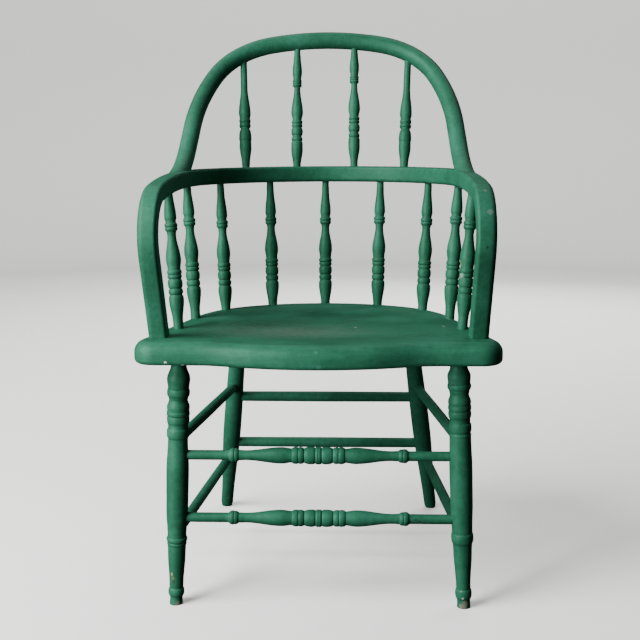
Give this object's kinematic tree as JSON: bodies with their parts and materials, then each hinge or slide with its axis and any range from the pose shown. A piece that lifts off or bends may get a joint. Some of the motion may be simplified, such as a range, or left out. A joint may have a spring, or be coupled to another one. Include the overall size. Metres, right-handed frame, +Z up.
{
  "type": "armchair",
  "caption": "Wooden armchair with a saddled plank seat, turned legs and spindles, a bent arm rail and a leaning back bow.",
  "frame": {"origin": "on the floor under the middle of the chair's bounding box", "axes": "+Z up; the sitter faces -Y; X = 0 is the plane of symmetry, with +X on the right in the picture"},
  "size_m": [0.533, 0.5238, 0.8789],
  "materials": {
    "seat_paint": "satin old green paint, worn in the middle of the seat",
    "bent_paint": "satin old green paint",
    "turned_paint": "satin old green paint",
    "screw_steel": "plain"
  },
  "bodies": {
    "root": {"seat": "seat_paint", "front_leg_left": "turned_paint", "front_leg_right": "turned_paint", "rear_leg_left": "turned_paint", "rear_leg_right": "turned_paint", "front_stretcher_upper": "turned_paint", "front_stretcher_lower": "turned_paint", "rear_stretcher_upper": "turned_paint", "rear_stretcher_lower": "turned_paint", "side_stretcher_upper_left": "turned_paint", "side_stretcher_upper_right": "turned_paint", "side_stretcher_lower_left": "turned_paint", "side_stretcher_lower_right": "turned_paint", "arm_rail": "bent_paint", "back_bow": "bent_paint", "scarf_screws": "screw_steel", "lower_spindle_1": "turned_paint", "lower_spindle_2": "turned_paint", "lower_spindle_3": "turned_paint", "lower_spindle_4": "turned_paint", "lower_spindle_5": "turned_paint", "lower_spindle_6": "turned_paint", "lower_spindle_7": "turned_paint", "lower_spindle_8": "turned_paint", "lower_spindle_9": "turned_paint", "upper_spindle_1": "turned_paint", "upper_spindle_2": "turned_paint", "upper_spindle_3": "turned_paint", "upper_spindle_4": "turned_paint"}
  },
  "joints": []
}
